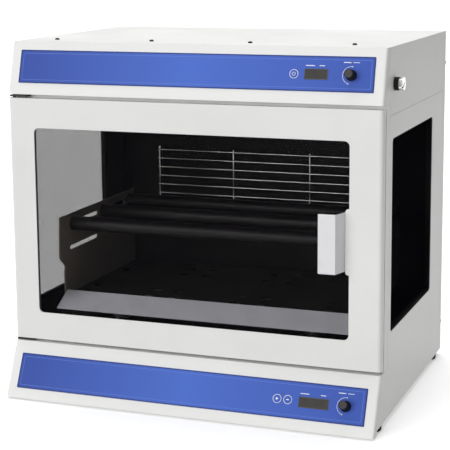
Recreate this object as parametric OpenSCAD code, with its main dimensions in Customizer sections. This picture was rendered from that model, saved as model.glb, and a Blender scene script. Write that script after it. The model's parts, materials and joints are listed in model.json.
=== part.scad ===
// Shaking laboratory incubator: a glazed cabinet with a left-hinged door, dark side windows and an
// orbital platform with flask clamp bars. Millimetres, +Z up, front towards -Y, +X to the right.
// The origin is the middle of the footprint on the surface that the feet stand on.

/* [Cabinet] */
// Width over the side panels
body_w = 760; // [740:5:780]
// Depth from the door's front face to the rear panel
body_d = 540; // [536:2:560]
// Height from the base pan to the top cover
body_h = 700; // [690:5:715]
// Thickness of the outer steel sheet
sheet = 2; // [1.5:0.5:2]
// Gap between neighbouring sheets
seam = 0.4; // [0.2:0.1:0.6]
// Height of the feet
foot_h = 12; // [8:1:16]
// Radius of each foot
foot_r = 15; // [12:1:16]

/* [Fascias] */
// Height of the upper fascia
upper_h = 102; // [98:1:106]
// How far the upper fascia leans back over its height
upper_lean = 29; // [20:1:34]
// Height of the lower fascia
lower_h = 97; // [94:1:98]
// How far the lower fascia's foot stands in front of the door
lower_lean = 50; // [30:1:60]
// How far the lower fascia's skirt hangs below the base pan
lower_drop = 8; // [4:0.5:9]
// Width of the folded returns round each fascia
return_w = 18; // [12:1:18]
// Radius of the upright edges of both fascias
edge_r = 5; // [3:0.5:5]
// Width of the blue overlays
overlay_w = 718; // [690:2:722]
// Thickness of the blue overlays
overlay_t = 1; // [0.8:0.1:1.5]

/* [Door] */
// Height of the door's lower edge above the base pan
door_z0 = 103; // [102.5:0.5:104]
// Height of the door's upper edge above the base pan
door_z1 = 590.5; // [588:0.5:591]
// Thickness of the door
door_t = 18; // [18:1:18]
// Left edge of the door window
win_x0 = -325; // [-330:1:-315]
// Right edge of the door window
win_x1 = 317; // [312:1:320]
// Lower edge of the door window
win_z0 = 159; // [156:1:164]
// Upper edge of the door window
win_z1 = 532; // [526:1:535]
// Corner radius of the door window
win_r = 10; // [6:1:14]
// Thickness of the door glass
glass_t = 4; // [3:0.5:4]
// Depth of the pull handle in front of the door
handle_d = 30; // [24:1:32]
// Lower end of the pull handle
handle_z0 = 289; // [286:1:292]
// Upper end of the pull handle
handle_z1 = 401; // [396:1:404]

/* [Side windows] */
// Front edge of each side window
side_y0 = 69; // [66:1:74]
// Rear edge of each side window
side_y1 = 417; // [410:1:424]
// Lower edge of each side window
side_z0 = 162.5; // [158:0.5:166]
// Upper edge of each side window
side_z1 = 530.5; // [525:0.5:535]
// Corner radius of each side window
side_r = 8; // [5:1:12]

/* [Chamber] */
// Half of the width inside the liner
liner_x = 366; // [364:1:366]
// Depth of the liner's back, from the door's front face
liner_y = 510; // [508:1:510]
// Height of the chamber floor
floor_z = 118; // [116:1:118]
// Height of the chamber ceiling
ceiling_z = 565; // [563:1:568]
// Thickness of the liner sheet
liner_t = 2; // [1.5:0.5:2]

/* [Shaker] */
// Radius of the orbit, half of the shaking stroke
orbit_r = 8; // [5:0.5:8]
// Width of the platform between its side plates
platform_w = 613; // [580:1:620]
// Height of the tray's upper face
tray_z = 176; // [174:1:178]
// Height of the side plates' upper edge
plate_z1 = 341; // [335:1:345]
// Radius of the rubber-covered clamp bars
bar_r = 15; // [12:1:16]
// Radius of the crank shafts
shaft_r = 8; // [7:0.5:8]
// Radius of the eccentric pins
pin_r = 6; // [5:0.5:6]
// Radial clearance of every running fit
fit = 0.05; // [0.02:0.01:0.1]

/* [Controls] */
// Radius of the membrane buttons
button_r = 7; // [6:0.5:7.5]
// Radius of the turning knobs
knob_r = 8.6; // [8:0.1:9]
// Length of the turning knobs
knob_l = 20; // [15:0.5:20]
// Radius of the side dial's collar
collar_r = 12.5; // [12:0.5:13]

/* [Hidden] */
half = body_w / 2;
inner = half - sheet;
upper_z = body_h - upper_h;
upper_angle = atan(upper_lean / upper_h);
lower_angle = atan(lower_lean / (lower_h + lower_drop));
flange_w = return_w - 1.5;
frame_y = door_t + 2;
mouth = [-352, 150, 352, 560];
cover_z = 575;
edge_gap = 1.2;
wrap_y = upper_lean + return_w;
cover_front = wrap_y + edge_gap;
rear_wrap = body_d - 16;

// Door pivot, and the pins that carry it
pivot_x = -half + 9;
pivot_y = door_t / 2;
hinge_pin_r = 3;

// Controls, along the slope of their fascia from its lower edge
overlay_x = overlay_w / 2;
upper_overlay_v = [22.9, 88.9];
lower_overlay_v = [20.5, 91];
power_button_at = [206.7, 54.6];
start_button_at = [186.8, 55];
stop_button_at = [207.8, 55];
led_at = [197.3, 65.3];
temperature_knob_at = [315.2, 54];
speed_knob_at = [320, 54];
upper_display_box = [226.6, 44.5, 271.6, 65];
lower_display_box = [229.3, 43, 288, 63.6];
knob_shaft_r = 3;
dial_at = [80, 631];
dial_slot_turn = 27;

// Shaker: the drive crank stands at the middle, and three idlers carry the platform with it
drive_at = [0, 262];
idler_left_at = [-210, 142];
idler_right_at = [210, 142];
idler_rear_at = [0, 400];
motor_at = [130, 405];
crank_points = [drive_at, idler_left_at, idler_right_at, idler_rear_at];
chassis_z = 104;
crank_top_z = 129;
carriage_z = 136;
belt_z = 39;
driven_r = 60;
motor_pulley_r = 20;
plate_t = 3;
plate_y1 = 434;
upper_slot_z = 320;
lower_slot_z = 270;
slot_w = 9;
stud_r = 4;
front_bar_y = 121;
middle_bar_y = 265;
rear_bar_y = 400;

fan_at = [0, 430];
guard_y = 496;
top_screw_x = [-312, -107, 97, 302];
top_screw_y = 86;
foot_at = [for (x = [-1, 1]) for (y = [10, 495]) [x * (half - foot_r - 1), y]];

// Hidden parts: catch magnets, mains inlet, rocker, control boards, duct and guard
catch_x = 373;
catch_z = [220, 470];
inlet_box = [-290, 40, -214, 70];
inlet_socket = [-284, -254];
inlet_mid = -269;
rocker_x = -231;
rocker_z = 55;
rocker_tilt = 8;
board_y = 12;
duct_x = 287;
guard_box = [-268, 275, 268, 432];

// Holes in the platform, and the notch in the window round the handle
tray_holes_x = [-286, -145, -95, 45, 96, 237];
tray_holes_y = [132, 183.5, 330.5, 382];
notch_x = 310;
notch_gap = 6;

$fn = 64;

// ---- Shared helpers ----

// Places a child whose y counts from the door's front face and whose z counts from the base pan
module in_cabinet() translate([0, -body_d / 2, foot_h]) children();

// Extrudes an (x, z) outline towards the back
module slab_y(y, t) translate([0, y + t, 0]) rotate([90, 0, 0]) linear_extrude(t) children();

// Extrudes a (y, z) outline towards +X
module slab_x(x, t) translate([x, 0, 0]) rotate([90, 0, 90]) linear_extrude(t) children();

// Extrudes an (x, y) outline upwards
module slab_z(z, t) translate([0, 0, z]) linear_extrude(t) children();

// A box from one corner to the other
module block(low, high) translate(low) cube(high - low);

function arc(c, r, from, to, steps = 8) =
    [for (i = [0 : steps]) let (a = from + (to - from) * i / steps) c + r * [cos(a), sin(a)]];

function rounded(x0, y0, x1, y1, r) = concat(
    arc([x1 - r, y1 - r], r, 0, 90), arc([x0 + r, y1 - r], r, 90, 180),
    arc([x0 + r, y0 + r], r, 180, 270), arc([x1 - r, y0 + r], r, 270, 360));

module rounded_box(b, r) polygon(rounded(b[0], b[1], b[2], b[3], r));

function grown(b, g) = [b[0] - g, b[1] - g, b[2] + g, b[3] + g];

// Frames of the two leaning fascias: x across, y inwards, z up the slope
module on_upper() in_cabinet() translate([0, 0, upper_z]) rotate([-upper_angle, 0, 0]) children();
module on_lower() in_cabinet() translate([0, -lower_lean, -lower_drop]) rotate([-lower_angle, 0, 0])
    children();

// A round piece standing inwards from a fascia, between two depths
module inward(at, r, from, to) translate([at[0], from, at[1]]) rotate([-90, 0, 0])
    cylinder(h = to - from, r = r);

module at_points(points) for (p = points) translate([p[0], p[1], 0]) children();

function upper_y(z) = (z - upper_z) * upper_lean / upper_h;
function lower_y(z) = (z - lower_h) * lower_lean / (lower_h + lower_drop);

side_window = [side_y0, side_z0, side_y1, side_z1];
door_window = [win_x0, win_z0, win_x1, win_z1];

// ---- Outer casing ----

module base_pan() color("gainsboro") in_cabinet() {
    front = lower_y(0) + return_w + seam;
    back = body_d - sheet - seam;
    difference() {
        union() {
            block([-inner, front, 0], [inner, back, sheet]);
            for (s = [-1, 1]) slab_x(s > 0 ? inner - sheet : -inner, sheet)
                polygon([[20, 0], [back, 0], [back, 25], [20, 25]]);
        }
        at_points(foot_at) translate([0, 0, -1]) cylinder(h = sheet + 2, r = 3.2);
    }
}

module side_sheet() slab_x(inner, sheet) difference() {
    polygon([
        [lower_y(0) + return_w + edge_gap, 0], [return_w + edge_gap, lower_h],
        [wrap_y + edge_gap, lower_h], [wrap_y + edge_gap, cover_z - seam],
        [rear_wrap - seam, cover_z - seam], [rear_wrap - seam, 0]
    ]);
    rounded_box(side_window, side_r);
}

module side_panel_left() color("whitesmoke") in_cabinet() mirror([1, 0, 0]) side_sheet();
module side_panel_right() color("whitesmoke") in_cabinet() side_sheet();

rear_screw_at = [for (x = [-340, -120, 120, 340]) for (z = [18, 680]) [x, z]];

module rear_panel() color("whitesmoke") in_cabinet() {
    top = body_h - sheet - seam;
    difference() {
        union() {
            block([-half, body_d - sheet, 0], [half, body_d, top]);
            for (x = [-half, inner]) block([x, rear_wrap, 0], [x + sheet, body_d - sheet, top]);
        }
        block([inlet_box[0], body_d - 5, inlet_box[1]], [inlet_box[2], body_d + 5, inlet_box[3]]);
        for (i = [0 : 7]) translate([0, 0, 30 + 9 * i])
            block([160, body_d - 5, 0], [300, body_d + 5, 4]);
        for (p = rear_screw_at) translate([p[0], body_d - 5, p[1]]) rotate([-90, 0, 0])
            cylinder(h = 10, r = 2.2);
    }
}

module cover_skirt() polygon([
    [wrap_y + edge_gap, cover_z], [wrap_y + edge_gap, upper_z], [return_w + edge_gap, upper_z],
    [cover_front, body_h], [rear_wrap - seam, body_h], [rear_wrap - seam, cover_z]
]);

module top_cover() color("white") in_cabinet() difference() {
    union() {
        slab_x(inner, sheet) cover_skirt();
        mirror([1, 0, 0]) slab_x(inner, sheet) cover_skirt();
        block([-half, cover_front, body_h - sheet], [half, body_d, body_h]);
    }
    for (x = top_screw_x) translate([x, top_screw_y, body_h - 5]) cylinder(h = 10, r = 2.2);
    translate([inner - 5, dial_at[0], dial_at[1]]) rotate([0, 90, 0]) cylinder(h = 10, r = 8);
}

// A fascia's plan in its own frame: the front skin with rounded upright edges and a return each side
function fascia_plan(g, depth) = concat(
    [[-half + g, depth]], arc([-half + edge_r, edge_r], edge_r - g, 180, 270),
    arc([half - edge_r, edge_r], edge_r - g, 270, 360), [[half - g, depth]]);

module fascia_shell(angle, length) slab_z(-30, length + 60) difference() {
    polygon(fascia_plan(0, return_w * cos(angle)));
    polygon(fascia_plan(sheet, 60));
}

module fascia_solid(length) slab_z(-30, length + 60) polygon(fascia_plan(0, 80));

module upper_fascia() color("whitesmoke") difference() {
    intersection() {
        in_cabinet() block([-half, -10, upper_z], [half, 90, body_h]);
        on_upper() fascia_solid(upper_h);
        union() {
            on_upper() fascia_shell(upper_angle, upper_h);
            in_cabinet() {
                block([-half, -5, upper_z], [half, flange_w, upper_z + sheet]);
                block([-half, upper_lean - 5, body_h - sheet],
                    [half, upper_lean + flange_w, body_h]);
            }
        }
    }
    on_upper() {
        inward(power_button_at, button_r + 0.3, -5, 10);
        inward(temperature_knob_at, knob_shaft_r + 0.4, -5, 10);
        slab_y(-5, 15) rounded_box(upper_display_box, 0.5);
    }
}

module lower_fascia() color("whitesmoke") difference() {
    intersection() {
        in_cabinet() block([-half, -90, -lower_drop], [half, 40, lower_h]);
        on_lower() fascia_solid(lower_h);
        union() {
            on_lower() fascia_shell(lower_angle, lower_h);
            in_cabinet() {
                block([-half, -5, lower_h - sheet], [half, flange_w, lower_h]);
                block([-half, -lower_lean - 5, -lower_drop],
                    [half, flange_w - lower_lean, sheet - lower_drop]);
            }
        }
    }
    on_lower() {
        inward(start_button_at, button_r + 0.3, -5, 10);
        inward(stop_button_at, button_r + 0.3, -5, 10);
        inward(led_at, 1.7, -5, 10);
        inward(speed_knob_at, knob_shaft_r + 0.4, -5, 10);
        slab_y(-5, 15) rounded_box(lower_display_box, 0.5);
    }
}

// The frame that the door closes on, with a flange round each side
module front_frame() color("gray") in_cabinet() difference() {
    union() {
        slab_y(frame_y, sheet) difference() {
            rounded_box([-half, lower_h + seam, half, upper_z - seam], 1);
            rounded_box(mouth, 6);
        }
        for (x = [-half, inner])
            block([x, frame_y, lower_h + seam], [x + sheet, wrap_y, upper_z - seam]);
    }
    for (z = catch_z) translate([catch_x, frame_y - 1, z]) rotate([-90, 0, 0])
        cylinder(h = 5, r = 4.7);
}

module door_catch() color("dimgray") in_cabinet() for (z = catch_z)
    translate([catch_x, frame_y - 1, z]) rotate([-90, 0, 0]) cylinder(h = 14, r = 4.5);

module feet() color("black") in_cabinet() at_points(foot_at) {
    rotate_extrude() polygon([
        [0, -foot_h], [foot_r - 2, -foot_h], [foot_r, 3 - foot_h], [foot_r, 0], [0, 0]
    ]);
    cylinder(h = 8, r = 3);
}

module rear_spacers() color("black") in_cabinet()
    for (x = [6.5 - half, half - 6.5]) for (z = [60, 632])
        translate([x, body_d, z]) rotate([-90, 0, 0]) rotate_extrude()
            polygon([[0, 0], [6, 0], [6, 8], [4, 11], [0, 11]]);

module pan_head_screw(head_r, head_h, shank) rotate_extrude() polygon([
    [0, -shank], [2, -shank], [2, 0], [head_r, 0], [head_r, head_h * 0.5],
    [head_r * 0.7, head_h], [0, head_h]
]);

module cover_screws() color("black") in_cabinet() {
    for (x = top_screw_x) translate([x, top_screw_y, body_h]) pan_head_screw(4.3, 3.3, 10);
    for (p = rear_screw_at) translate([p[0], body_d, p[1]]) rotate([-90, 0, 0])
        pan_head_screw(4, 2.4, 10);
}

module power_inlet() color("black") in_cabinet() {
    b = inlet_box;
    back = body_d;
    difference() {
        union() {
            block([b[0] + seam, back - 30, b[1] + seam], [b[2] - seam, back, b[3] - seam]);
            block([b[0] - 5, back, b[1] - 5], [b[2] + 5, back + 2.5, b[3] + 5]);
        }
        // socket for a mains connector, open to the rear
        block([inlet_socket[0], back - 16, 44], [inlet_socket[1], back + 5, 66]);
        // well for the rocker, with its pivot bores
        block([rocker_x - 7, back - 14, rocker_z - 10.5], [rocker_x + 7, back + 5, rocker_z + 10.5]);
        translate([rocker_x - 9, back - 5, rocker_z]) rotate([0, 90, 0])
            cylinder(h = 18, r = 1.5 + fit);
    }
    for (p = [[-7, 52], [0, 58], [7, 52]]) translate([inlet_mid + p[0], back - 17, p[1]])
        block([-1, 0, -2.5], [1, 13, 2.5]);
}

module rocker_switch() color("darkred") in_cabinet()
    translate([rocker_x, body_d - 5, rocker_z]) {
        rotate([rocker_tilt, 0, 0]) slab_x(-6.5, 13)
            polygon([[-5, -4], [-5, 4], [2, 9], [7.6, 9], [5.4, 0], [7.6, -9], [2, -9]]);
        translate([-8.6, 0, 0]) rotate([0, 90, 0]) cylinder(h = 17.2, r = 1.5);
    }

// ---- Windows ----

module side_pane(x, t, gap) slab_x(x, t) rounded_box(grown(side_window, -gap), side_r);

module side_window_left() color("black") in_cabinet() mirror([1, 0, 0])
    side_pane(inner - 1.4, 3, 0.3);
module side_window_right() color("black") in_cabinet() side_pane(inner - 1.4, 3, 0.3);

module window_inner_panes() color("dimgray") in_cabinet() {
    side_pane(liner_x - 1, 3, 0.3);
    mirror([1, 0, 0]) side_pane(liner_x - 1, 3, 0.3);
}

module window_seal() slab_x(liner_x + liner_t + 0.2, 8.2) difference() {
    rounded_box(grown(side_window, 12), side_r + 8);
    rounded_box(grown(side_window, -4), side_r - 3);
}

module side_window_seals() color("black") in_cabinet() {
    window_seal();
    mirror([1, 0, 0]) window_seal();
}

// ---- Control panels ----

module upper_overlay() color("royalblue") on_upper() difference() {
    slab_y(-overlay_t, overlay_t)
        rounded_box([-overlay_x, upper_overlay_v[0], overlay_x, upper_overlay_v[1]], 1.5);
    inward(power_button_at, button_r + 0.3, -5, 5);
    inward(temperature_knob_at, knob_shaft_r + 1, -5, 5);
    slab_y(-5, 10) rounded_box(upper_display_box, 0.5);
}

module lower_overlay() color("royalblue") on_lower() difference() {
    slab_y(-overlay_t, overlay_t)
        rounded_box([-overlay_x, lower_overlay_v[0], overlay_x, lower_overlay_v[1]], 1.5);
    inward(start_button_at, button_r + 0.3, -5, 5);
    inward(stop_button_at, button_r + 0.3, -5, 5);
    inward(led_at, 1.7, -5, 5);
    inward(speed_knob_at, knob_shaft_r + 1, -5, 5);
    slab_y(-5, 10) rounded_box(lower_display_box, 0.5);
}

module displays() color("dimgray") {
    on_upper() slab_y(-0.6, 9) rounded_box(grown(upper_display_box, -0.2), 0.4);
    on_lower() slab_y(-0.6, 9) rounded_box(grown(lower_display_box, -0.2), 0.4);
}

module status_led() color("navy") on_lower() {
    inward(led_at, 1.5, -1.3, 9);
}

module control_board(buttons, knob, x0, x1) {
    block([x0, board_y, 22], [x1, board_y + 1.6, 84]);
    for (b = buttons) inward(b, 3, 10.6, board_y);
    difference() {
        translate([knob[0], 0, knob[1]]) block([-6.5, 2.6, -6.5], [6.5, board_y, 6.5]);
        inward(knob, knob_shaft_r + fit, 0, 11);
    }
}

module control_boards() color("seagreen") {
    on_upper() control_board([power_button_at], temperature_knob_at, 190, 335);
    on_lower() control_board([start_button_at, stop_button_at], speed_knob_at, 170, 335);
}

module membrane_button(at) {
    inward(at, button_r, -overlay_t - 0.9, 3.4);
    inward(at, button_r + 1.6, 2.4, 3.4);
    inward(at, 2, 3.4, 9.6);
}

module power_button() color("royalblue") on_upper() membrane_button(power_button_at);
module start_button() color("royalblue") on_lower() membrane_button(start_button_at);
module stop_button() color("royalblue") on_lower() membrane_button(stop_button_at);

module turning_knob(at) translate([at[0], 0, at[1]]) rotate([90, 0, 0]) {
    rotate_extrude() polygon([
        [0, overlay_t + 0.5], [knob_r + 2, overlay_t + 0.5], [knob_r + 1.8, overlay_t + 3.5],
        [knob_r + 0.9, overlay_t + 5], [knob_r, overlay_t + knob_l],
        [knob_r - 0.8, overlay_t + knob_l + 0.8],
        [0, overlay_t + knob_l + 0.8]
    ]);
    translate([0, 0, -10]) cylinder(h = 10 + overlay_t + 2, r = knob_shaft_r);
}

module temperature_knob() color("dimgray") on_upper() turning_knob(temperature_knob_at);
module speed_knob() color("dimgray") on_lower() turning_knob(speed_knob_at);

// The over-temperature thermostat's body, with the collar that clamps it to the cover
module cutout_thermostat() color("black") in_cabinet()
    translate([0, dial_at[0], dial_at[1]]) rotate([0, 90, 0]) difference() {
        union() {
            translate([-16, -16, inner - 26]) cube([32, 32, 26]);
            translate([0, 0, inner - 1]) cylinder(h = 3, r = 7.6);
            translate([0, 0, half]) cylinder(h = 9, r = collar_r);
        }
        translate([0, 0, inner - 18]) cylinder(h = 40, r = 4 + fit);
    }

module cutout_dial() color("silver") in_cabinet()
    translate([0, dial_at[0], dial_at[1]]) rotate([0, 90, 0]) difference() {
        union() {
            translate([0, 0, inner - 17]) cylinder(h = 30, r = 4);
            translate([0, 0, half + 9.3]) cylinder(h = 8.7, r = collar_r - 0.3);
        }
        rotate([0, 0, dial_slot_turn]) translate([-1.4, -collar_r, half + 15])
            cube([2.8, 2 * collar_r, 5]);
    }

// ---- Chamber ----

module liner_side() slab_x(liner_x, liner_t) difference() {
    polygon([
        [frame_y + sheet, floor_z], [liner_y + liner_t, floor_z],
        [liner_y + liner_t, ceiling_z + liner_t], [frame_y + sheet, ceiling_z + liner_t]
    ]);
    rounded_box(side_window, side_r);
}

module chamber_liner() color("dimgray") in_cabinet() {
    outer_x = liner_x + liner_t;
    liner_side();
    mirror([1, 0, 0]) liner_side();
    difference() {
        block([-outer_x, frame_y + sheet, ceiling_z],
            [outer_x, liner_y + liner_t, ceiling_z + liner_t]);
        for (i = [-3 : 3]) translate([i * 70, 130, ceiling_z - 5])
            linear_extrude(12) rounded_box([-25, -20, 25, 20], 6);
    }
    difference() {
        block([-outer_x, liner_y, floor_z], [outer_x, liner_y + liner_t, ceiling_z + liner_t]);
        slab_y(liner_y - 5, 12) rounded_box(guard_box, 8);
    }
}

module chamber_floor() color("dimgray") in_cabinet() difference() {
    block([seam - liner_x, frame_y + sheet, floor_z],
        [liner_x - seam, liner_y - seam, floor_z + liner_t]);
    at_points(crank_points) translate([0, 0, floor_z - 1]) cylinder(h = 5, r = shaft_r + 2);
}

module rear_wire_guard() color("silver") in_cabinet() {
    x = 272;
    upright_y = guard_y + 3.62;
    for (i = [0 : 7]) translate([-x, guard_y, 283 + 20 * i]) rotate([0, 90, 0])
        cylinder(h = 2 * x, r = 1.6);
    for (s = [-x + 2, -90, 90, x - 2]) translate([s, upright_y, 278]) cylinder(h = 150, r = 2);
    for (s = [-x + 2, x - 2]) for (z = [278, 428]) translate([s, upright_y, z]) rotate([-90, 0, 0])
        cylinder(h = liner_y - upright_y, r = 2.5);
}

module duct_outline(g) polygon([
    [liner_y + liner_t - g, 262 + g], [body_d - 4 - g, 262 + g], [body_d - 4 - g, 642 - g],
    [48 + g, 642 - g], [48 + g, ceiling_z + liner_t - g],
    [liner_y + liner_t - g, ceiling_z + liner_t - g]
]);

module air_duct() color("lightgray") in_cabinet() difference() {
    slab_x(-duct_x, 2 * duct_x) duct_outline(0);
    slab_x(1.5 - duct_x, 2 * duct_x - 3) duct_outline(1.5);
    slab_x(1.5 - duct_x, 2 * duct_x - 3) polygon([
        [liner_y, 263.5], [liner_y + 10, 263.5], [liner_y + 10, 560], [liner_y, 560]
    ]);
    slab_x(1.5 - duct_x, 2 * duct_x - 3) polygon([
        [49.5, ceiling_z], [liner_y + 10, ceiling_z], [liner_y + 10, 575], [49.5, 575]
    ]);
    translate([fan_at[0], fan_at[1], 630]) cylinder(h = 20, r = 6);
}

module fan_motor() color("gray") in_cabinet() translate([fan_at[0], fan_at[1], 642])
    difference() {
        union() {
            cylinder(h = 36, r = 36);
            cylinder(h = 4, r = 44);
        }
        translate([0, 0, -1]) cylinder(h = 21, r = 4 + fit);
    }

module fan_rotor() color("silver") in_cabinet() translate([fan_at[0], fan_at[1], 584]) {
    cylinder(h = 3, r = 70);
    cylinder(h = 30, r = 11);
    cylinder(h = 74, r = 4);
    for (i = [0 : 11]) rotate([0, 0, 30 * i]) translate([44, -1, 2]) cube([22, 2, 34]);
    translate([0, 0, 35]) difference() {
        cylinder(h = 2, r = 70);
        translate([0, 0, -1]) cylinder(h = 4, r = 42);
    }
}

module heater_element() color("darkgray") in_cabinet() translate([0, 210, 605]) {
    for (y = [-40, 0, 40]) translate([-180, y, 0]) rotate([0, 90, 0]) cylinder(h = 360, r = 5);
    translate([180, -20, 0]) rotate([0, 0, -90]) rotate_extrude(angle = 180)
        translate([20, 0]) circle(r = 5);
    translate([-180, 20, 0]) rotate([0, 0, 90]) rotate_extrude(angle = 180)
        translate([20, 0]) circle(r = 5);
    for (x = [-150 : 50 : 150]) block([x, -50, -14], [x + 1.5, 50, 14]);
}

// ---- Shaker drive ----

module chassis_plate() color("slategray") in_cabinet() {
    x = 370;
    for (s = [-x, x - 3]) block([s, 40, sheet], [s + 3, 520, chassis_z + 2]);
    difference() {
        block([-x, 30, chassis_z], [x, 530, chassis_z + 4]);
        at_points(crank_points) translate([0, 0, chassis_z - 1]) cylinder(h = 6, r = shaft_r + 1.5);
    }
}

module bearing_housings() color("gray") in_cabinet() at_points(crank_points) difference() {
    union() {
        translate([0, 0, 66]) cylinder(h = 38, r = 20);
        translate([0, 0, 99]) cylinder(h = 5, r = 32);
    }
    translate([0, 0, 60]) cylinder(h = 50, r = shaft_r + fit);
}

// A crank: its shaft stands on the axis and its pin one orbit radius to the front
module crank(bottom) {
    translate([0, 0, bottom]) cylinder(h = crank_top_z - bottom - 2, r = shaft_r);
    translate([0, 0, crank_top_z - 5]) cylinder(h = 5, r = 20);
    translate([0, -orbit_r, crank_top_z - 1]) cylinder(h = carriage_z + 7 - crank_top_z, r = pin_r);
}

module pulley(groove_r) {
    cylinder(h = 2, r = groove_r + 4);
    cylinder(h = 16, r = groove_r);
    translate([0, 0, 14]) cylinder(h = 2, r = groove_r + 4);
}

module drive_crank() color("silver") in_cabinet()
    translate([drive_at[0], drive_at[1], 0]) {
        crank(30);
        translate([0, 0, belt_z - 3]) pulley(driven_r);
        // counterweight opposite the pin
        intersection() {
            translate([0, 0, 51]) cylinder(h = 12, r = driven_r + 4);
            block([-70, 6, 50], [70, 70, 64]);
        }
    }

module idler(at) color("silver") in_cabinet() translate([at[0], at[1], 0]) crank(62);
module idler_crank_left() idler(idler_left_at);
module idler_crank_right() idler(idler_right_at);
module idler_crank_rear() idler(idler_rear_at);

module drive_motor() color("dimgray") in_cabinet() translate([motor_at[0], motor_at[1], 0])
    difference() {
        union() {
            translate([0, 0, 60]) cylinder(h = 44, r = 40);
            translate([0, 0, 56]) cylinder(h = 6, r = 18);
        }
        translate([0, 0, 50]) cylinder(h = 30, r = 5 + fit);
    }

module motor_pulley() color("silver") in_cabinet() translate([motor_at[0], motor_at[1], 0]) {
    translate([0, 0, belt_z - 3]) pulley(motor_pulley_r);
    translate([0, 0, belt_z - 3]) cylinder(h = 42, r = 5);
}

// Outline of a loop stretched round both pulleys, a given distance out from their grooves
module belt_outline(g) {
    d = motor_at - drive_at;
    along = atan2(d[1], d[0]);
    open = acos((driven_r - motor_pulley_r) / norm(d));
    polygon(concat(
        arc(drive_at, driven_r + g, along + open, along + 360 - open, 40),
        arc(motor_at, motor_pulley_r + g, along - open, along + open, 16)));
}

module drive_belt() color("black") in_cabinet() slab_z(belt_z, 10) difference() {
    belt_outline(3.3);
    belt_outline(0.3);
}

// ---- Shaking platform ----

module on_platform() in_cabinet() children();

module carriage() color("silver") on_platform() {
    difference() {
        union() {
            block([-240, 112, carriage_z], [240, 430, carriage_z + 6]);
            at_points(crank_points) translate([0, -orbit_r, crank_top_z + 2])
                cylinder(h = carriage_z - crank_top_z, r = 13);
        }
        at_points(crank_points) translate([0, -orbit_r, crank_top_z])
            cylinder(h = 20, r = pin_r + fit);
    }
    for (x = [-215, -60, 10, 166]) for (y = [180, 350]) translate([x, y, carriage_z + 5])
        cylinder(h = tray_z - 2 - carriage_z - 5, r = 10);
}

// The tray: a flat deck, a short upstand and a lip that slopes down at the front
module platform_tray() color("black") on_platform() {
    w = platform_w / 2 - 0.3;
    difference() {
        slab_x(-w, 2 * w) polygon([
            [plate_y1, tray_z - 10], [plate_y1, tray_z], [92, tray_z], [92, tray_z + 8.2],
            [89.2, tray_z + 10], [38.6, tray_z - 16.2], [39.5, tray_z - 18],
            [88.9, tray_z + 7.6], [90, tray_z + 7], [90, tray_z - 2],
            [plate_y1 - 2, tray_z - 2], [plate_y1 - 2, tray_z - 10]
        ]);
        for (x = tray_holes_x) for (y = tray_holes_y) translate([x, y, tray_z - 5])
            cylinder(h = 10, r = 11);
    }
}

module slot(y0, y1, z) polygon(rounded(y0, z - slot_w / 2, y1, z + slot_w / 2, slot_w / 2));

module side_plate_outline() difference() {
    polygon([
        [82, tray_z - 10], [82, 225], [84.5, 236], [61, 257], [65, plate_z1],
        [plate_y1, plate_z1], [plate_y1, tray_z - 10]
    ]);
    slot(107, 245, upper_slot_z);
    slot(259, 419, upper_slot_z);
    slot(107, 239, lower_slot_z);
    slot(281, 413, lower_slot_z);
}

module side_plate_right() color("black") on_platform()
    slab_x(platform_w / 2, plate_t) side_plate_outline();
module side_plate_left() color("black") on_platform() mirror([1, 0, 0])
    slab_x(platform_w / 2, plate_t) side_plate_outline();

// A clamp bar with studs through the slots and a nut outside each side plate
module clamp_bar(y) color("black") on_platform()
    translate([0, y, upper_slot_z]) rotate([0, 90, 0]) {
        bar_x = platform_w / 2 - 0.3;
        nut_x = platform_w / 2 + plate_t + 0.3;
        translate([0, 0, -bar_x]) cylinder(h = 2 * bar_x, r = bar_r);
        translate([0, 0, -nut_x - 8]) cylinder(h = 2 * nut_x + 16, r = stud_r);
        for (s = [-nut_x - 8, nut_x]) translate([0, 0, s]) cylinder(h = 8, r = 9);
    }

module front_clamp_bar() clamp_bar(front_bar_y);
module middle_clamp_bar() clamp_bar(middle_bar_y);
module rear_clamp_bar() clamp_bar(rear_bar_y);

// ---- Door ----

function door_outline(g) = concat(
    arc([half - 3, door_t - 3], 3 - g, 0, 90, 4), arc([-half + 6, door_t - 6], 6 - g, 90, 180, 6),
    arc([-half + 8, 8], 8 - g, 180, 270), arc([half - 8, 8], 8 - g, 270, 360));

module window_cut() difference() {
    rounded_box(door_window, win_r);
    polygon(concat(
        [[win_x1 + 5, handle_z1 + notch_gap], [notch_x + 5, handle_z1 + notch_gap]],
        arc([notch_x + 5, handle_z1 + notch_gap - 5], 5, 90, 180),
        arc([notch_x + 5, handle_z0 - notch_gap + 5], 5, 180, 270),
        [[win_x1 + 5, handle_z0 - notch_gap]]));
}

module door_frame() color("whitesmoke") in_cabinet() difference() {
    slab_z(door_z0, door_z1 - door_z0) polygon(door_outline(0));
    slab_z(door_z0 + sheet, door_z1 - door_z0 - 2 * sheet) union() {
        polygon(door_outline(sheet));
        polygon([[-half + 8, 8], [half - 4, 8], [half - 4, 30], [-half + 8, 30]]);
    }
    slab_y(-5, 10) window_cut();
    translate([pivot_x, pivot_y, door_z0 - 5]) cylinder(h = 10, r = hinge_pin_r + 0.4);
    translate([pivot_x, pivot_y, door_z1 - 5]) cylinder(h = 10, r = hinge_pin_r + 0.4);
}

module door_inner_frame() color("lightgray") in_cabinet() {
    slab_y(door_t - 2, 2) difference() {
        rounded_box([-370, door_z0 + sheet + 1, 374, door_z1 - sheet - 1], 2);
        rounded_box(grown(door_window, 5), 10);
    }
    slab_y(5 + glass_t + 0.2, door_t - 6.2 - glass_t) difference() {
        rounded_box(grown(door_window, 7), 12);
        rounded_box(grown(door_window, 5), 10);
    }
}

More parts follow.
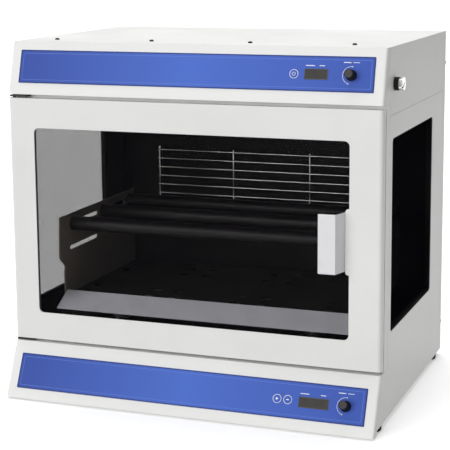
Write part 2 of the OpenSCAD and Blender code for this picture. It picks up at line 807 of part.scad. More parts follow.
module door_glass() color([0.2, 0.2, 0.25, 0.5]) in_cabinet()
    slab_y(5, glass_t) rounded_box(grown(door_window, 15), 6);

// Door seal on the back, a lip along the free edge, and the strip that beds the glass behind the skin
module door_gasket() color("black") in_cabinet() {
    slab_y(door_t, 1.7) difference() {
        rounded_box(grown(mouth, 5), 10);
        rounded_box(mouth, 6);
    }
    block([half - 4, door_t, door_z0 + 4], [half - 1.2, door_t + 0.9, door_z1 - 4]);
    slab_y(sheet, 3) difference() {
        rounded_box(grown(door_window, 12), 12);
        rounded_box(grown(door_window, 3), 10);
        polygon([[300, handle_z0 - 4], [360, handle_z0 - 4], [360, handle_z1 + 4],
            [300, handle_z1 + 4]]);
    }
}

module door_handle() color("gainsboro") in_cabinet()
    slab_z(handle_z0, handle_z1 - handle_z0) polygon([
        [345, 2.1], [309.2, 2.1], [299.5, -handle_d], [266, -handle_d],
        [266, 2.5 - handle_d], [297.6, 2.5 - handle_d], [307.4, 4.6], [345, 4.6]
    ]);

module hinge_bush(z) translate([pivot_x, pivot_y, z]) difference() {
    union() {
        cylinder(h = 16, r = 6.5);
        block([0, -5.5, 0], [22, 5.5, 16]);
    }
    translate([0, 0, -1]) cylinder(h = 18, r = hinge_pin_r + fit);
}

module hinge_bushes() color("silver") in_cabinet() {
    hinge_bush(door_z0 + sheet);
    hinge_bush(door_z1 - sheet - 16);
}

module hinge_brackets() color("darkslategray") in_cabinet() {
    for (z = [lower_h + 1, upper_z - 5]) block([-half + 2, 3, z], [-half + 40, frame_y, z + 3]);
    translate([pivot_x, pivot_y, lower_h + 1]) cylinder(h = 18, r = hinge_pin_r);
    translate([pivot_x, pivot_y, door_z1 - 13]) cylinder(h = upper_z - 2 - door_z1 + 13,
        r = hinge_pin_r);
}

// ---- One line for each node ----
base_pan();
side_panel_left();
side_panel_right();
rear_panel();
top_cover();
upper_fascia();
lower_fascia();
front_frame();
chamber_liner();
chamber_floor();
chassis_plate();
side_window_left();
side_window_right();
window_inner_panes();
side_window_seals();
hinge_brackets();
upper_overlay();
lower_overlay();
displays();
status_led();
control_boards();
power_inlet();
rear_spacers();
feet();
cover_screws();
air_duct();
fan_motor();
heater_element();
rear_wire_guard();
drive_motor();
drive_belt();
bearing_housings();
cutout_thermostat();
door_catch();
door_frame();
door_inner_frame();
door_glass();
door_gasket();
door_handle();
hinge_bushes();
drive_crank();
idler_crank_left();
idler_crank_right();
idler_crank_rear();
carriage();
platform_tray();
side_plate_left();
side_plate_right();
front_clamp_bar();
middle_clamp_bar();
rear_clamp_bar();
power_button();
start_button();
stop_button();
temperature_knob();
speed_knob();
cutout_dial();
rocker_switch();
fan_rotor();
motor_pulley();
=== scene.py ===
import json
import math

import bmesh
import bpy
from mathutils import Matrix, Vector


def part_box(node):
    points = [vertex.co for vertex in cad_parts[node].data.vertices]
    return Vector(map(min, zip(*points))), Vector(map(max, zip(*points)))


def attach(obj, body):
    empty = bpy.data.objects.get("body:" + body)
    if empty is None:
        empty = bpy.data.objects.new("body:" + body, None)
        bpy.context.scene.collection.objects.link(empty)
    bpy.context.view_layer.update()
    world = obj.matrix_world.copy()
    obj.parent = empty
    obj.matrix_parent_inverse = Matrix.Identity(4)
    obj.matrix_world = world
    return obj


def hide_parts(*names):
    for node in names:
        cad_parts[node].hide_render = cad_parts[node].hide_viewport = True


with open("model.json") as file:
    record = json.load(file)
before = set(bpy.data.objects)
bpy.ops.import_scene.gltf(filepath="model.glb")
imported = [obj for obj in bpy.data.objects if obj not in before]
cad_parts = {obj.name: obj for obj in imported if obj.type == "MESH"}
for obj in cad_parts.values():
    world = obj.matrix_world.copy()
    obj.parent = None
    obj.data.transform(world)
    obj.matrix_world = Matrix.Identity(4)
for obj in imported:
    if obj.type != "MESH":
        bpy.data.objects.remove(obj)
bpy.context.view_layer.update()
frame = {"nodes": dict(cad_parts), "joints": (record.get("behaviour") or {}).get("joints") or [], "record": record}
scene = bpy.context.scene
MM = 0.001

# The camera, fitted to the photograph: metres, degrees, and the lens in millimetres
CAMERA_PLACE = (0.9786, -2.6923, 0.8981)
CAMERA_YAW, CAMERA_PITCH, CAMERA_ROLL = 20.444, 80.401, -0.46
CAMERA_LENS, CAMERA_SHIFT = 111.64, -0.1

# The studio's strength, what the camera sees of it, and how wide its two lamps are in degrees
FILL, PAPER, LAMP_SPREAD = 0.32, 1.1, 50

# Both fascias lean back: how far each one leans over its height, and its foot, in metres
DOOR_Y = -0.270
UPPER_LEAN, UPPER_RISE = 0.029, 0.102
LOWER_LEAN, LOWER_RISE = 0.050, 0.105
UPPER_FOOT = Vector((0, DOOR_Y, 0.610))
LOWER_FOOT = Vector((0, DOOR_Y - LOWER_LEAN, 0.004))


# ---- Camera and light ----

def make_camera():
    data = bpy.data.cameras.new("camera")
    data.sensor_width = 36
    data.lens = CAMERA_LENS
    data.shift_y = CAMERA_SHIFT
    data.clip_end = 50
    yaw = Matrix.Rotation(math.radians(CAMERA_YAW), 4, "Z")
    pitch = Matrix.Rotation(math.radians(CAMERA_PITCH), 4, "X")
    roll = Matrix.Rotation(math.radians(CAMERA_ROLL), 4, "Z")
    cam = bpy.data.objects.new("camera", data)
    cam.matrix_world = Matrix.Translation(CAMERA_PLACE) @ yaw @ pitch @ roll
    scene.collection.objects.link(cam)
    scene.camera = cam


def make_world():
    """A dim studio all round, which the camera sees as white paper."""
    world = bpy.data.worlds.new("studio")
    world.use_nodes = True
    tree = world.node_tree
    fill = tree.nodes["Background"]
    paper = tree.nodes.new("ShaderNodeBackground")
    for shade, strength in ((fill, FILL), (paper, PAPER)):
        shade.inputs["Color"].default_value = (1, 1, 1, 1)
        shade.inputs["Strength"].default_value = strength
    path = tree.nodes.new("ShaderNodeLightPath")
    mix = tree.nodes.new("ShaderNodeMixShader")
    tree.links.new(path.outputs["Is Camera Ray"], mix.inputs["Fac"])
    tree.links.new(fill.outputs["Background"], mix.inputs[1])
    tree.links.new(paper.outputs["Background"], mix.inputs[2])
    tree.links.new(mix.outputs["Shader"], tree.nodes["World Output"].inputs["Surface"])
    scene.world = world


def add_lamp(name, data, direction):
    """Hangs a lamp that shines from its direction."""
    lamp = bpy.data.objects.new(name, data)
    lamp.rotation_euler = Vector(direction).to_track_quat("Z", "Y").to_euler()
    scene.collection.objects.link(lamp)
    return lamp


def add_sun(name, direction, power):
    data = bpy.data.lights.new(name, "SUN")
    data.energy = power
    data.angle = math.radians(LAMP_SPREAD)
    add_lamp(name, data, direction)


def make_lamps():
    """Two wide soft lamps, and a low card beside the shaded side."""
    add_sun("front_lamp", (-0.35, -0.85, 0.20), 2.22)
    add_sun("top_lamp", (-0.18, 0.30, 1.0), 2.42)
    card = bpy.data.lights.new("low_card", "AREA")
    card.shape = "RECTANGLE"
    card.size, card.size_y = 1.2, 0.5
    card.energy = 1.3
    lamp = add_lamp("low_card", card, (1, 0, -0.35))
    lamp.location = (1.05, 0.05, 0.06)
    lamp.visible_camera = False
    scene.view_settings.view_transform = "Standard"


# ---- Materials ----

GRAIN_SCALE, GRAIN_HEIGHT = 1500, 0.0002


def new_material(name, values):
    mat = bpy.data.materials.new(name)
    mat.use_nodes = True
    shader = mat.node_tree.nodes["Principled BSDF"]
    for key, value in values.items():
        shader.inputs[key].default_value = value
    return mat, mat.node_tree, shader


def node(tree, kind, **values):
    """Adds a node, with values on its inputs."""
    made = tree.nodes.new(kind)
    for key, value in values.items():
        made.inputs[key].default_value = value
    return made


def place_coords(tree, stretch=(1, 1, 1)):
    coords = node(tree, "ShaderNodeTexCoord")
    mapping = node(tree, "ShaderNodeMapping", Scale=stretch)
    tree.links.new(coords.outputs["Object"], mapping.inputs["Vector"])
    return mapping.outputs["Vector"]


def noise(tree, coords, scale, detail):
    made = node(tree, "ShaderNodeTexNoise", Scale=scale, Detail=detail)
    tree.links.new(coords, made.inputs["Vector"])
    return made.outputs["Fac"]


def feed(tree, source, stops, socket):
    """Spreads a source over stops of (position, colour) and feeds a shader's socket with it."""
    made = node(tree, "ShaderNodeValToRGB")
    points = made.color_ramp.elements
    while len(points) < len(stops):
        points.new(0.5)
    for point, (at, colour) in zip(points, stops):
        point.position = at
        point.color = (*colour, 1)
    tree.links.new(source, made.inputs["Fac"])
    tree.links.new(made.outputs["Color"], socket)


def add_bump(tree, shader, height, strength, distance):
    raised = node(tree, "ShaderNodeBump", Strength=strength, Distance=distance)
    tree.links.new(height, raised.inputs["Height"])
    tree.links.new(raised.outputs["Normal"], shader.inputs["Normal"])


def grey(v):
    return (v, v, v)


def surface(name, dark, light, rough, scale, metal=0.0, bump=0.0, stretch=(1, 1, 1), **extra):
    """Colour that varies softly between two tones, uneven roughness and a fine surface grain."""
    mat, tree, shader = new_material(name, {"Metallic": metal, **extra})
    coords = place_coords(tree, stretch)
    cloud = noise(tree, coords, scale, 4)
    feed(tree, cloud, [(0.3, dark), (0.7, light)], shader.inputs["Base Color"])
    feed(tree, cloud, [(0.25, grey(rough[0])), (0.75, grey(rough[1]))], shader.inputs["Roughness"])
    if bump:
        add_bump(tree, shader, noise(tree, coords, GRAIN_SCALE, 2), bump, GRAIN_HEIGHT)
    return mat


def glazing(name, tint, alpha, rough, gloss):
    """See-through glass with a faint, uneven haze."""
    mat, tree, shader = new_material(name, {"Alpha": alpha, "IOR": 1.5, "Specular IOR Level": gloss})
    cloud = noise(tree, place_coords(tree), 6, 3)
    feed(tree, cloud, [(0.3, tint), (0.7, tuple(c * 1.25 for c in tint))], shader.inputs["Base Color"])
    feed(tree, cloud, [(0.3, grey(rough)), (0.7, grey(rough * 1.8))], shader.inputs["Roughness"])
    return mat


def overlay_film(name):
    """Printed blue film: a tone that shifts along its length, with fine grain in the print."""
    mat, tree, shader = new_material(name, {"Specular IOR Level": 0.12})
    coords = node(tree, "ShaderNodeTexCoord").outputs["Object"]
    apart = node(tree, "ShaderNodeSeparateXYZ")
    tree.links.new(coords, apart.inputs["Vector"])
    along = node(tree, "ShaderNodeMapRange")
    along.inputs["From Min"].default_value = -0.36
    along.inputs["From Max"].default_value = 0.36
    tree.links.new(apart.outputs["X"], along.inputs["Value"])
    blues = [(0.0, (0.040, 0.085, 0.39)), (0.5, (0.072, 0.160, 0.62)), (1.0, (0.048, 0.105, 0.47))]
    feed(tree, along.outputs["Result"], blues, shader.inputs["Base Color"])
    grain = noise(tree, coords, 2200, 2)
    feed(tree, grain, [(0.3, grey(0.34)), (0.7, grey(0.46))], shader.inputs["Roughness"])
    add_bump(tree, shader, grain, 0.12, 0.0001)
    return mat


# How strongly a finish mirrors the lamps, where that isn't the shader's own 0.5
FLAT = {"Specular IOR Level": 0.07}
DULL = {"Specular IOR Level": 0.15}
SATIN = {"Specular IOR Level": 0.3}
METAL = {"metal": 1.0}

# Each finish: its dark and light tones, its range of roughness, how fine its variation is, and the rest
FINISHES = {
    "casing_paint": ((0.815, 0.815, 0.80), (0.855, 0.855, 0.84), (0.40, 0.50), 9, {"bump": 0.25, **SATIN}),
    "handle_paint": ((0.77, 0.77, 0.79), (0.81, 0.81, 0.83), (0.34, 0.42), 30, {"bump": 0.15}),
    "display_lens": ((0.026, 0.023, 0.018), (0.040, 0.035, 0.029), (0.14, 0.22), 60, DULL),
    "display_rim": ((0.085, 0.085, 0.09), (0.12, 0.12, 0.125), (0.3, 0.4), 200, DULL),
    "display_digits": (grey(0.017), grey(0.024), (0.3, 0.4), 200, DULL),
    "seal_rubber": (grey(0.012), grey(0.022), (0.6, 0.8), 200, {"bump": 0.3, **DULL}),
    "foot_rubber": (grey(0.014), grey(0.026), (0.65, 0.85), 200, {"bump": 0.4, **DULL}),
    "liner_paint": ((0.006, 0.005, 0.005), (0.010, 0.0085, 0.0085), (0.45, 0.6), 12, {"bump": 0.2, **FLAT}),
    "frame_steel": ((0.16, 0.16, 0.165), (0.20, 0.20, 0.205), (0.4, 0.5), 15, {"bump": 0.2, **DULL}),
    "chassis_steel": (grey(0.42), grey(0.58), (0.3, 0.45), 25, {"bump": 0.15, **METAL}),
    "machined_steel": (grey(0.5), grey(0.62), (0.22, 0.34), 60,
                       {"bump": 0.2, "stretch": (1, 1, 12), **METAL}),
    "cast_aluminium": (grey(0.55), grey(0.7), (0.35, 0.5), 50, {"bump": 0.3, **METAL}),
    "guard_wire": (grey(0.55), grey(0.70), (0.16, 0.26), 90, METAL),
    "platform_paint": ((0.011, 0.010, 0.009), (0.019, 0.017, 0.015), (0.4, 0.55), 18, {"bump": 0.25, **DULL}),
    "plate_paint": ((0.19, 0.165, 0.14), (0.23, 0.20, 0.17), (0.4, 0.55), 18, {"bump": 0.25, **DULL}),
    # painted highlight: the apron's lighter tone stands in for the light its sloping front catches
    "apron_painted_light": ((0.53, 0.53, 0.57), (0.59, 0.59, 0.635), (0.42, 0.52), 30, {"bump": 0.2}),
    "bar_rubber": ((0.005, 0.0034, 0.004), (0.0072, 0.0055, 0.006), (0.34, 0.44), 90,
                   {"bump": 0.15, **DULL}),
    "knob_plastic": (grey(0.006), grey(0.011), (0.42, 0.55), 160, {"bump": 0.35, **DULL}),
    "knob_cap": ((0.050, 0.044, 0.042), (0.066, 0.058, 0.056), (0.4, 0.5), 120, {"bump": 0.2, **DULL}),
    "collar_plastic": (grey(0.010), grey(0.016), (0.42, 0.55), 160, {"bump": 0.3, **DULL}),
    "dial_chrome": (grey(0.50), grey(0.72), (0.08, 0.2), 160, METAL),
    # painted shade: the dark tone of the dial's slot floor stands in for the shade inside the slot
    "dial_slot_painted_shade": (grey(0.02), grey(0.035), (0.4, 0.5), 160, DULL),
    "inlet_plastic": (grey(0.013), grey(0.022), (0.45, 0.6), 140, {"bump": 0.3, **DULL}),
    "rocker_plastic": ((0.28, 0.012, 0.012), (0.36, 0.018, 0.016), (0.2, 0.3), 90, {}),
    "screw_black": (grey(0.016), grey(0.028), (0.32, 0.45), 250, DULL),
    "board_laminate": ((0.012, 0.13, 0.045), (0.02, 0.18, 0.06), (0.35, 0.5), 80, {"bump": 0.2}),
    "motor_paint": (grey(0.03), grey(0.05), (0.4, 0.5), 40, {"bump": 0.2, **DULL}),
    "bracket_paint": (grey(0.035), grey(0.055), (0.4, 0.5), 60, {"bump": 0.2, **DULL}),
    "lamp_lens": ((0.012, 0.025, 0.12), (0.018, 0.035, 0.16), (0.15, 0.22), 200, {}),
    "print_white": ((0.80, 0.82, 0.88), (0.88, 0.89, 0.93), (0.4, 0.5), 400, {}),
    "print_navy": ((0.014, 0.030, 0.15), (0.020, 0.042, 0.19), (0.35, 0.45), 300, DULL),
    "print_pale": ((0.13, 0.22, 0.66), (0.16, 0.26, 0.72), (0.35, 0.45), 300, DULL),
}


def make_materials():
    made = {}
    for name, (dark, light, rough, scale, rest) in FINISHES.items():
        made[name] = surface(name, dark, light, rough, scale, **rest)
    for name in ("overlay_blue", "button_film"):
        made[name] = overlay_film(name)
    made["door_glazing"] = glazing("door_glazing", (0.012, 0.012, 0.015), 0.09, 0.02, 0.10)
    made["side_glazing"] = glazing("side_glazing", (0.004, 0.004, 0.006), 0.30, 0.08, 0.0)
    return made


materials = make_materials()
slot_of = {p["node"]: p["material_slot"] for p in frame["record"]["subparts"]}
body_of = {n: b for b, names in frame["record"]["behaviour"]["bodies"].items() for n in names}


def paint(obj, name):
    obj.data.materials.clear()
    obj.data.materials.append(materials[name])


# ---- Mesh helpers ----

SMOOTH_OVER = 35    # edges sharper than this, in degrees, stay sharp and are rounded
WELD = 2e-6         # CAD points closer than this, in metres, are one point
FLAT_WITHIN = 0.5   # CAD faces that turn less than this, in degrees, are one face


def keep(obj, body, slot_name, *stands_for, look=None):
    """Rides a finished piece on its body, with its finish and the nodes it stands for."""
    paint(obj, look or slot_name)
    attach(obj, body)
    if stands_for:
        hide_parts(*stands_for)
    return obj


def to_object(name, bm, smooth_over=None):
    bm.normal_update()
    mesh = bpy.data.meshes.new(name)
    bm.to_mesh(mesh)
    bm.free()
    obj = bpy.data.objects.new(name, mesh)
    scene.collection.objects.link(obj)
    if smooth_over is not None:
        mesh.polygons.foreach_set("use_smooth", [True] * len(mesh.polygons))
        mesh.set_sharp_from_angle(angle=math.radians(smooth_over))
    return obj


def bevel(obj, width, over=SMOOTH_OVER):
    made = obj.modifiers.new("bevel", "BEVEL")
    made.width = width
    made.segments = 2
    made.limit_method = "ANGLE"
    made.angle_limit = math.radians(over)
    made.harden_normals = True
    made.use_clamp_overlap = True


def welded(name):
    """A CAD node's mesh to work on, with its doubled points joined up."""
    bm = bmesh.new()
    bm.from_mesh(frame["nodes"][name].data)
    bmesh.ops.remove_doubles(bm, verts=bm.verts, dist=WELD)
    return bm


def softened(name, width, over=SMOOTH_OVER):
    """A copy of a CAD node with its flat faces joined up and its edges rounded."""
    bm = welded(name)
    bmesh.ops.dissolve_limit(bm, angle_limit=math.radians(FLAT_WITHIN), verts=bm.verts, edges=bm.edges)
    obj = to_object(name + "_piece", bm, over)
    bevel(obj, width, over)
    return keep(obj, body_of[name], slot_of[name], name)


def islands(name):
    """The boxes of the separate solids in a CAD node."""
    bm = welded(name)
    left, boxes = set(bm.verts), []
    while left:
        todo, found = [left.pop()], []
        while todo:
            vert = todo.pop()
            found.append(vert.co.copy())
            for edge in vert.link_edges:
                other = edge.other_vert(vert)
                if other in left:
                    left.remove(other)
                    todo.append(other)
        low = Vector([min(c[i] for c in found) for i in range(3)])
        high = Vector([max(c[i] for c in found) for i in range(3)])
        boxes.append((low, high))
    bm.free()
    return sorted(boxes, key=lambda box: tuple(round(c, 4) for c in box[0]))


def joint_place(name):
    return Vector(next(j for j in frame["joints"] if j["name"] == name)["pos_m"])


# ---- Shapes drawn flat in millimetres, then raised or turned ----

def slope(place, lean, rise):
    """The frame of a leaning fascia: X across, Y up the slope, Z out of it."""
    size = math.hypot(lean, rise)
    turn = Matrix(((1, 0, 0), (0, lean / size, -rise / size), (0, rise / size, lean / size)))
    return Matrix.Translation(place) @ turn.to_4x4()


def circle_points(centre, r, start=0, stop=360, steps=48):
    """Points round a circle. An arc has one point more, at its end."""
    count = steps if stop - start >= 360 else steps + 1
    turns = [math.radians(start + (stop - start) * i / steps) for i in range(count)]
    return [(centre[0] + r * math.cos(t), centre[1] + r * math.sin(t)) for t in turns]


def rounded_points(box, inset, r):
    """A box's outline, drawn in by inset, with corners of radius r."""
    x0, y0, x1, y1 = box[0] + inset, box[1] + inset, box[2] - inset, box[3] - inset
    corners = [(x1 - r, y1 - r, 0), (x0 + r, y1 - r, 90), (x0 + r, y0 + r, 180), (x1 - r, y0 + r, 270)]
    return [p for x, y, a in corners for p in circle_points((x, y), r, a, a + 90, 6)]


def add_plate(bm, outline, low, high):
    below = [bm.verts.new((x, y, low)) for x, y in outline]
    above = [bm.verts.new((x, y, high)) for x, y in outline]
    bm.faces.new(above)
    bm.faces.new(below[::-1])
    for i in range(len(outline)):
        j = (i + 1) % len(outline)
        bm.faces.new((below[i], below[j], above[j], above[i]))


def add_bar(bm, x0, y0, x1, y1, low, high):
    add_plate(bm, [(x0, y0), (x1, y0), (x1, y1), (x0, y1)], low, high)


def add_band(bm, outer, inner, low, high, closed=True):
    """A raised band between two outlines with the same number of points."""
    rings = [[bm.verts.new((x, y, z)) for x, y in line] for line, z in
             ((outer, low), (outer, high), (inner, high), (inner, low))]
    count = len(outer)
    for i in range(count if closed else count - 1):
        j = (i + 1) % count
        for a, b in zip(rings, rings[1:] + rings[:1]):
            bm.faces.new((a[i], a[j], b[j], b[i]))
    if not closed:
        bm.faces.new([ring[0] for ring in rings])
        bm.faces.new([ring[-1] for ring in rings][::-1])


def add_arc(bm, centre, r, width, low, high, start=0, stop=360, steps=64):
    outer = circle_points(centre, r + width / 2, start, stop, steps)
    inner = circle_points(centre, r - width / 2, start, stop, steps)
    add_band(bm, outer, inner, low, high, closed=stop - start >= 360)


def fluted(count, depth):
    """The shape of a ring with grooves: how far out it reaches at an angle."""
    return lambda angle: 1 - depth * (0.5 - 0.5 * math.cos(count * angle))


def hexagonal(angle):
    return math.cos(math.pi / 6) / math.cos((angle % (math.pi / 3)) - math.pi / 6)


def plain(profile):
    """Rows for add_lathe from a profile of (radius, height), all of them round."""
    return [(r, z, lambda angle: 1.0) for r, z in profile]


def add_lathe(bm, rows, steps, place=Matrix()):
    """Turns rows of (radius, height, shape of the ring) about Z. The first and last rows are closed."""
    turns = [2 * math.pi * i / steps for i in range(steps)]
    rings = []
    for r, z, shape in rows:
        points = [(r * shape(t) * math.cos(t), r * shape(t) * math.sin(t), z) for t in turns]
        rings.append([bm.verts.new(place @ Vector(point)) for point in points])
    for a, b in zip(rings, rings[1:]):
        for i in range(steps):
            j = (i + 1) % steps
            bm.faces.new((a[i], a[j], b[j], b[i]))
    bm.faces.new(rings[0][::-1])
    bm.faces.new(rings[-1])


def finish_piece(name, bm, matrix, body, slot_name, *stands_for, look=None, smooth_over=30, rounding=0):
    """Scales a piece drawn in millimetres, puts it in place and rides it."""
    bmesh.ops.scale(bm, vec=(MM, MM, MM), verts=bm.verts)
    bmesh.ops.recalc_face_normals(bm, faces=bm.faces)
    bm.transform(matrix)
    obj = to_object(name, bm, smooth_over)
    if rounding:
        bevel(obj, rounding * MM)
    return keep(obj, body, slot_name, *stands_for, look=look)


# ---- Control panels ----

# How far these stand off the fascia, in millimetres
FILM = 1.0
INK = FILM + 0.06
KEY_TOP = 1.9
KEY_INK = KEY_TOP + 0.06
SINK = 0.02         # the print reaches this far into what it is printed on

FILM_X = 359
PANELS = {
    "upper": {
        "place": slope(UPPER_FOOT, UPPER_LEAN, UPPER_RISE), "film": (-FILM_X, 22.9, FILM_X, 88.9),
        "screen": (226.6, 44.5, 271.6, 65), "knob": (315.2, 54), "keys": [(206.7, 54.6)],
    },
    "lower": {
        "place": slope(LOWER_FOOT, LOWER_LEAN, LOWER_RISE), "film": (-FILM_X, 20.5, FILM_X, 91),
        "screen": (229.3, 43, 288, 63.6), "knob": (320, 54), "keys": [(186.8, 55), (207.8, 55)],
    },
}
KEY_RING_R, KEY_RING_WIDTH = 7.95, 1.0
SCALE_R, SCALE_WIDTH, SCALE_FROM, SCALE_TO = 16.3, 0.7, 84, 252
SCALE_END_R, SCALE_END_WIDTH = 0.8, 0.6


def panel_border(which):
    """The film's dark edge, and the pale line that runs inside it."""
    panel = PANELS[which]
    for name, inset, width, look in (("edge", 0.15, 2.0, "print_navy"), ("line", 6.4, 0.7, "print_pale")):
        bm = bmesh.new()
        outer = rounded_points(panel["film"], inset, 2)
        inner = rounded_points(panel["film"], inset + width, 1.5)
        add_band(bm, outer, inner, FILM - SINK, INK)
        finish_piece(f"{which}_film_{name}", bm, panel["place"], "cabinet", "overlay_blue", look=look)


def panel_print(which):
    """White rings round the keys, a scale arc round the knob, and plain bars as their legends."""
    panel = PANELS[which]
    left, _, right, top = panel["screen"]
    x, y = panel["knob"]
    layer = (FILM - SINK, INK)
    bm = bmesh.new()
    for key in panel["keys"]:
        add_arc(bm, key, KEY_RING_R, KEY_RING_WIDTH, *layer)
    add_arc(bm, (x, y), SCALE_R, SCALE_WIDTH, *layer, SCALE_FROM, SCALE_TO)
    for turn in (SCALE_FROM, SCALE_TO):
        a = math.radians(turn)
        end = (x + SCALE_R * math.cos(a), y + SCALE_R * math.sin(a))
        add_arc(bm, end, SCALE_END_R, SCALE_END_WIDTH, *layer, steps=16)
    legends = ((left + 2, top + 5, left + 19, top + 6.4), (right - 17, top + 5, right - 7, top + 6.4),
               (x - 15.5, y + 23, x - 1.5, y + 24.5), (x + 2.5, y + 23.3, x + 14.5, y + 24.3))
    for bar in legends:
        add_bar(bm, *bar, *layer)
    finish_piece(f"{which}_film_print", bm, panel["place"], "cabinet", "overlay_blue", look="print_white")


def key_symbol(body, which, key, kind):
    """A plain symbol on a key: a broken ring with a bar, a triangle, or a bar."""
    x, y = PANELS[which]["keys"][key]
    layer = (KEY_TOP - SINK, KEY_INK)
    bm = bmesh.new()
    if kind == "power":
        add_arc(bm, (x, y), 3.0, 0.7, *layer, 125, 415)
        add_bar(bm, x - 0.35, y + 0.6, x + 0.35, y + 4.2, *layer)
    elif kind == "start":
        add_plate(bm, [(x - 2, y - 2.8), (x + 3.2, y), (x - 2, y + 2.8)], *layer)
    else:
        add_bar(bm, x - 2.6, y - 0.9, x + 2.6, y + 0.9, *layer)
    finish_piece(f"{body}_symbol", bm, PANELS[which]["place"], body, "button_film", look="print_white")


# The seven bars of a digit: side, level, and whether it stands upright
SEGMENTS = ((0, 1, 0), (1, 0.5, 1), (1, -0.5, 1), (0, -1, 0), (-1, -0.5, 1), (-1, 0.5, 1), (0, 0, 0))


def add_digit(bm, centre, tall, low, high):
    half_w, half_h, t = tall * 0.26, tall * 0.5, tall * 0.055
    for side, level, upright in SEGMENTS:
        x, y = centre[0] + side * half_w, centre[1] + level * half_h
        w, h = (t, half_h * 0.42) if upright else (half_w * 0.78, t)
        add_bar(bm, x - w, y - h, x + w, y + h, low, high)


RECESS, LENS_TOP, DIGIT_TOP = -6, 0.2, 0.24
RIM_TOP = FILM + 0.35
DIGITS = 4


def panel_display(which):
    """The window's bevelled rim, the lens set inside it, and the unlit digits on the lens."""
    place, screen = PANELS[which]["place"], PANELS[which]["screen"]
    x0, y0, x1, y1 = screen
    bm = bmesh.new()
    add_band(bm, rounded_points(screen, 0.2, 0.8), rounded_points(screen, 1.5, 0.6), RECESS, RIM_TOP)
    finish_piece(f"{which}_display_rim", bm, place, "cabinet", "display_lens", "displays",
                 look="display_rim", rounding=0.3)
    bm = bmesh.new()
    add_plate(bm, rounded_points(screen, 1.4, 0.6), RECESS, LENS_TOP)
    finish_piece(f"{which}_display_lens", bm, place, "cabinet", "display_lens", "displays", rounding=0.15)
    bm = bmesh.new()
    for i in range(DIGITS):
        middle = (x0 + (x1 - x0) * (i + 1) / (DIGITS + 1), (y0 + y1) / 2)
        add_digit(bm, middle, (y1 - y0) * 0.56, LENS_TOP - 0.05, DIGIT_TOP)
    finish_piece(f"{which}_display_digits", bm, place, "cabinet", "display_lens", look="display_digits")


# ---- Knobs, dial, screws and feet: profiles of (radius, height) in millimetres ----

KNOB_SKIRT = [(3, -9), (3, 1.5), (10.1, 1.5), (10.6, 2.0), (10.4, 4.3), (9.6, 5.6)]
KNOB_GRIP = [(9.35, 6.2), (8.65, 20.2), (8.45, 21.0)]
KNOB_CROWN = [(8.1, 21.5), (7.7, 21.6), (7.6, 21.3)]
KNOB_CAP = [(7.5, 20.5), (7.5, 21.4), (7.1, 21.65), (0.5, 21.7)]
KNOB_TOP = 21.6


def control_knob(body, joint, lean, rise):
    """A fluted knob on a wide skirt, with a paler cap and a pointer line."""
    matrix = slope(joint_place(joint), lean, rise)
    grip = fluted(28, 0.05)
    bm = bmesh.new()
    rows = plain(KNOB_SKIRT) + [(r, z, grip) for r, z in KNOB_GRIP] + plain(KNOB_CROWN)
    add_lathe(bm, rows, 224)
    finish_piece(f"{body}_grip", bm, matrix, body, "knob_plastic", body, smooth_over=40)
    bm = bmesh.new()
    add_lathe(bm, plain(KNOB_CAP), 64)
    finish_piece(f"{body}_cap", bm, matrix, body, "knob_plastic", look="knob_cap")
    bm = bmesh.new()
    add_bar(bm, -0.35, 3.2, 0.35, 6.8, KNOB_TOP, KNOB_TOP + 0.16)
    finish_piece(f"{body}_pointer", bm, matrix, body, "knob_plastic", look="display_rim")


DIAL_SHAFT = [(4, -19), (4, 9.3), (11.6, 9.3)]
DIAL_RIM = [(12.2, 9.9), (12.2, 14.6)]
DIAL_EDGE = [(11.5, 15.2)]
# The two halves of the dial's face, on each side of its slot, and half the slot's width
DIAL_HALF_R, DIAL_HALF_LOW, DIAL_HALF_TOP = 12.1, 14.8, 17.9
DIAL_SLOT_HALF = 1.4
DIAL_SLOT_TURN = 27     # degrees


def side_dial():
    """A knurled chrome disc with a slot across it, on the black collar."""
    at = joint_place("cutout_dial_turn")
    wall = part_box("side_panel_right")[1][0]
    turn = Matrix.Rotation(math.pi / 2, 4, "Y") @ Matrix.Rotation(math.radians(DIAL_SLOT_TURN), 4, "Z")
    matrix = Matrix.Translation((wall, at.y, at.z)) @ turn
    knurl = fluted(26, 0.09)
    bm = bmesh.new()
    add_lathe(bm, plain(DIAL_SHAFT) + [(r, z, knurl) for r, z in DIAL_RIM] + plain(DIAL_EDGE), 220)
    arc = circle_points((0, 0), DIAL_HALF_R, -83, 83, 90)
    rim = [(x * knurl(math.atan2(y, x)), y * knurl(math.atan2(y, x))) for x, y in arc]
    for side in (1, -1):
        half = [(side * max(x, DIAL_SLOT_HALF), y) for x, y in rim][::side]
        add_plate(bm, half, DIAL_HALF_LOW, DIAL_HALF_TOP)
    finish_piece("cutout_dial_disc", bm, matrix, "cutout_dial", "dial_chrome", "cutout_dial",
                 smooth_over=35, rounding=0.25)
    bm = bmesh.new()
    add_bar(bm, -1.38, -11.2, 1.38, 11.2, 15.1, 15.35)  # the slot's floor, painted dark for the shade inside the slot
    finish_piece("cutout_dial_slot", bm, matrix, "cutout_dial", "dial_chrome", look="dial_slot_painted_shade")


SCREW_SHANK = [(1.9, -8), (1.9, 0)]
SCREW_HEAD = [(1, 0), (1, 0.42), (0.88, 0.78), (0.62, 1)]   # as parts of the head's radius and height
SOCKET_R, SOCKET_FLOOR = 1.7, 0.4   # the floor is as part of the head's height
TOP_HEAD, REAR_HEAD = 3.3, 2.4      # how far the heads stand out


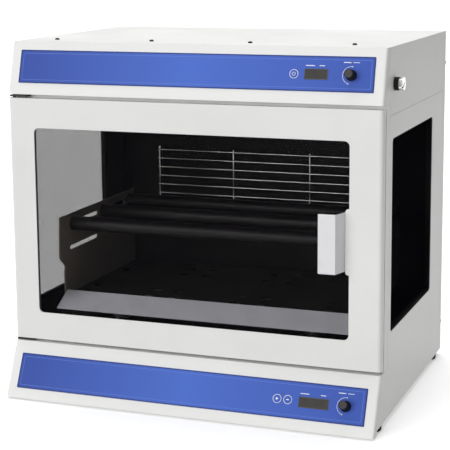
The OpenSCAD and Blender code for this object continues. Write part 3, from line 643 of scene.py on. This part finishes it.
def screw_heads():
    """Pan heads with hexagon sockets, upright on the top cover and lying in the rear panel."""
    bm = bmesh.new()
    for low, high in islands("cover_screws"):
        upright = (high.z - low.z) > (high.y - low.y)
        tall = TOP_HEAD if upright else REAR_HEAD
        radius = (high.x - low.x) / 2 / MM
        middle = (low + high) / 2 / MM
        if upright:
            seat = Matrix.Translation((middle.x, middle.y, high.z / MM - tall))
        else:
            seat = Matrix.Translation((middle.x, high.y / MM - tall, middle.z))
            seat = seat @ Matrix.Rotation(-math.pi / 2, 4, "X")
        rows = plain(SCREW_SHANK) + plain([(radius * r, tall * z) for r, z in SCREW_HEAD])
        rows += [(SOCKET_R, tall, hexagonal), (SOCKET_R, tall * SOCKET_FLOOR, hexagonal)]
        add_lathe(bm, rows, 48, seat)
    finish_piece("cover_screw_heads", bm, Matrix(), "cabinet", "screw_black", "cover_screws", smooth_over=35)


FOOT = [(8, 0), (12.4, 0), (13.2, 0.5), (14.8, 3.2), (15, 4.2), (14.3, 4.9), (14.3, 6.1), (15, 6.8),
        (15, 11.2), (14.2, 12)]


def rubber_feet():
    bm = bmesh.new()
    for low, high in islands("feet"):
        middle = (low + high) / 2 / MM
        add_lathe(bm, plain(FOOT), 64, Matrix.Translation((middle.x, middle.y, low.z / MM)))
    finish_piece("rubber_feet", bm, Matrix(), "cabinet", "foot_rubber", "feet", smooth_over=35)


# ---- Platform and floor ----

APRON_DEPTH = 0.052     # the apron reaches this far back from the tray's front, in metres


def side_plates():
    for name in ("side_plate_left", "side_plate_right"):
        paint(softened(name, 0.4 * MM), "plate_paint")


def platform_deck():
    """The platform, whose sloping front apron is painted lighter than its deck: a painted highlight for the light
    the apron catches.
    """
    deck = softened("platform_tray", 0.5 * MM, 25)
    deck.data.materials.append(materials["apron_painted_light"])
    front_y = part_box("platform_tray")[0][1]
    for face in deck.data.polygons:
        # painted highlight: the apron's faces that face the front get the lighter tone
        if face.center.y < front_y + APRON_DEPTH and face.normal.y < -0.2:
            face.material_index = 1


def make_floor():
    """A pale paper floor that glows a little, so that the shadow on it stays faint."""
    bm = bmesh.new()
    bmesh.ops.create_grid(bm, x_segments=1, y_segments=1, size=14)
    floor = to_object("floor", bm)
    glow = {"Emission Color": (1, 1, 1, 1), "Emission Strength": 0.28}
    mat, tree, shader = new_material("floor_paper", {"Roughness": 0.9, "Specular IOR Level": 0.1, **glow})
    cloud = noise(tree, place_coords(tree), 3, 2)
    feed(tree, cloud, [(0.3, grey(0.97)), (0.7, grey(0.98))], shader.inputs["Base Color"])
    floor.data.materials.append(mat)
    floor.visible_diffuse = False  # its bounce would flatten the shaded side


# The nodes that only need their edges rounded, and by how many millimetres
SOFT_EDGES = {
    "base_pan": 0.8, "side_panel_left": 0.8, "side_panel_right": 0.8, "rear_panel": 0.8, "top_cover": 0.9,
    "upper_fascia": 1.6, "lower_fascia": 1.6, "front_frame": 0.5, "door_frame": 1.2, "door_handle": 1.4,
    "door_inner_frame": 0.4, "front_clamp_bar": 1.2, "middle_clamp_bar": 1.2, "rear_clamp_bar": 1.2,
    "rear_spacers": 0.6, "power_inlet": 0.5, "cutout_thermostat": 0.7, "hinge_brackets": 0.4,
    "door_glass": 0.4, "power_button": 0.3, "start_button": 0.3, "stop_button": 0.3, "rocker_switch": 0.4,
}

make_camera()
make_world()
make_lamps()
for cad_name, cad_node in frame["nodes"].items():
    paint(cad_node, slot_of[cad_name])
make_floor()
for piece_name, edge in SOFT_EDGES.items():
    softened(piece_name, edge * MM)
side_plates()
platform_deck()
for panel_name in PANELS:
    panel_border(panel_name)
    panel_print(panel_name)
    panel_display(panel_name)
key_symbol("power_button", "upper", 0, "power")
key_symbol("start_button", "lower", 0, "start")
key_symbol("stop_button", "lower", 1, "stop")
control_knob("temperature_knob", "temperature_knob_turn", UPPER_LEAN, UPPER_RISE)
control_knob("speed_knob", "speed_knob_turn", LOWER_LEAN, LOWER_RISE)
side_dial()
screw_heads()
rubber_feet()
